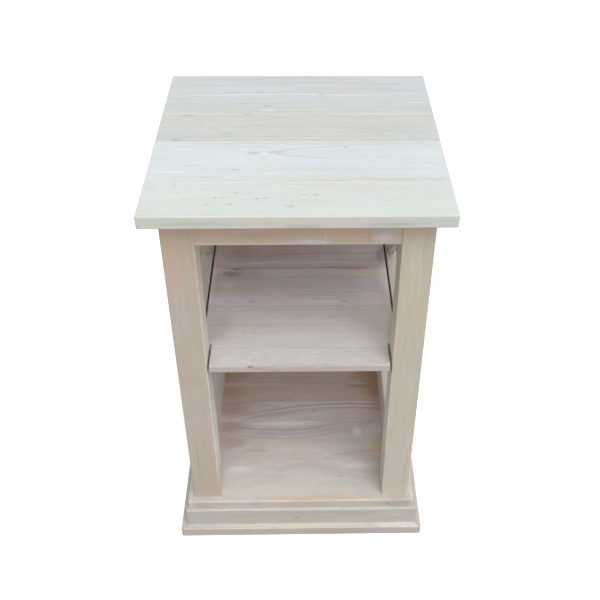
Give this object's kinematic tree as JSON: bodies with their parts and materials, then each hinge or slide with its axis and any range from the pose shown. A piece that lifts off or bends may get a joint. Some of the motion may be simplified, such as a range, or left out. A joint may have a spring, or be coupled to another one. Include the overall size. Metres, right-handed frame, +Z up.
{
  "type": "end table with shelf",
  "caption": "Square unfinished wooden end table with an overhanging edge-glued top, crossed-bar sides, a notched middle shelf, a floor board and a stepped plinth.",
  "frame": {"origin": "middle of the underside, on the floor", "axes": "+Z up, the open front faces -Y, +X is the right-hand side seen from the front"},
  "size_m": [0.41, 0.41, 0.66],
  "materials": {
    "top_wood": "sanded, unfinished",
    "leg_wood": "sanded, unfinished",
    "rail_wood": "sanded, unfinished",
    "bar_wood": "sanded, unfinished",
    "shelf_wood": "sanded, unfinished",
    "floor_wood": "sanded, unfinished",
    "plinth_wood": "sanded, unfinished",
    "panel_wood": "sanded, unfinished",
    "inner_wood": "sanded, unfinished",
    "dowel_wood": "sanded, unfinished",
    "screw_steel": "zinc plated"
  },
  "bodies": {
    "root": {"back_panel": "panel_wood", "bar_left_lower_falling": "bar_wood", "bar_left_lower_rising": "bar_wood", "bar_left_upper_falling": "bar_wood", "bar_left_upper_rising": "bar_wood", "bar_pins": "dowel_wood", "bar_right_lower_falling": "bar_wood", "bar_right_lower_rising": "bar_wood", "bar_right_upper_falling": "bar_wood", "bar_right_upper_rising": "bar_wood", "base_back": "plinth_wood", "base_front": "plinth_wood", "base_left": "plinth_wood", "base_right": "plinth_wood", "base_screws": "screw_steel", "cleat_screws": "screw_steel", "floor_stave_1": "floor_wood", "floor_stave_2": "floor_wood", "floor_stave_3": "floor_wood", "floor_stave_4": "floor_wood", "floor_stave_5": "floor_wood", "leg_back_left": "leg_wood", "leg_back_right": "leg_wood", "leg_front_left": "leg_wood", "leg_front_right": "leg_wood", "leg_screws": "screw_steel", "low_rail_back": "rail_wood", "low_rail_dowels": "dowel_wood", "low_rail_left": "rail_wood", "low_rail_right": "rail_wood", "mid_rail_dowels": "dowel_wood", "mid_rail_left": "rail_wood", "mid_rail_right": "rail_wood", "plinth_back": "plinth_wood", "plinth_blocks": "inner_wood", "plinth_front": "plinth_wood", "plinth_left": "plinth_wood", "plinth_right": "plinth_wood", "plinth_screws": "screw_steel", "shelf_cleat_left": "inner_wood", "shelf_cleat_right": "inner_wood", "shelf_screws": "screw_steel", "shelf_stave_1": "shelf_wood", "shelf_stave_2": "shelf_wood", "shelf_stave_3": "shelf_wood", "shelf_stave_4": "shelf_wood", "top_cleat_left": "inner_wood", "top_cleat_right": "inner_wood", "top_rail_back": "rail_wood", "top_rail_dowels": "dowel_wood", "top_rail_front": "rail_wood", "top_rail_left": "rail_wood", "top_rail_right": "rail_wood", "top_screws": "screw_steel", "top_stave_1": "top_wood", "top_stave_2": "top_wood", "top_stave_3": "top_wood", "top_stave_4": "top_wood", "top_stave_5": "top_wood"}
  },
  "joints": []
}
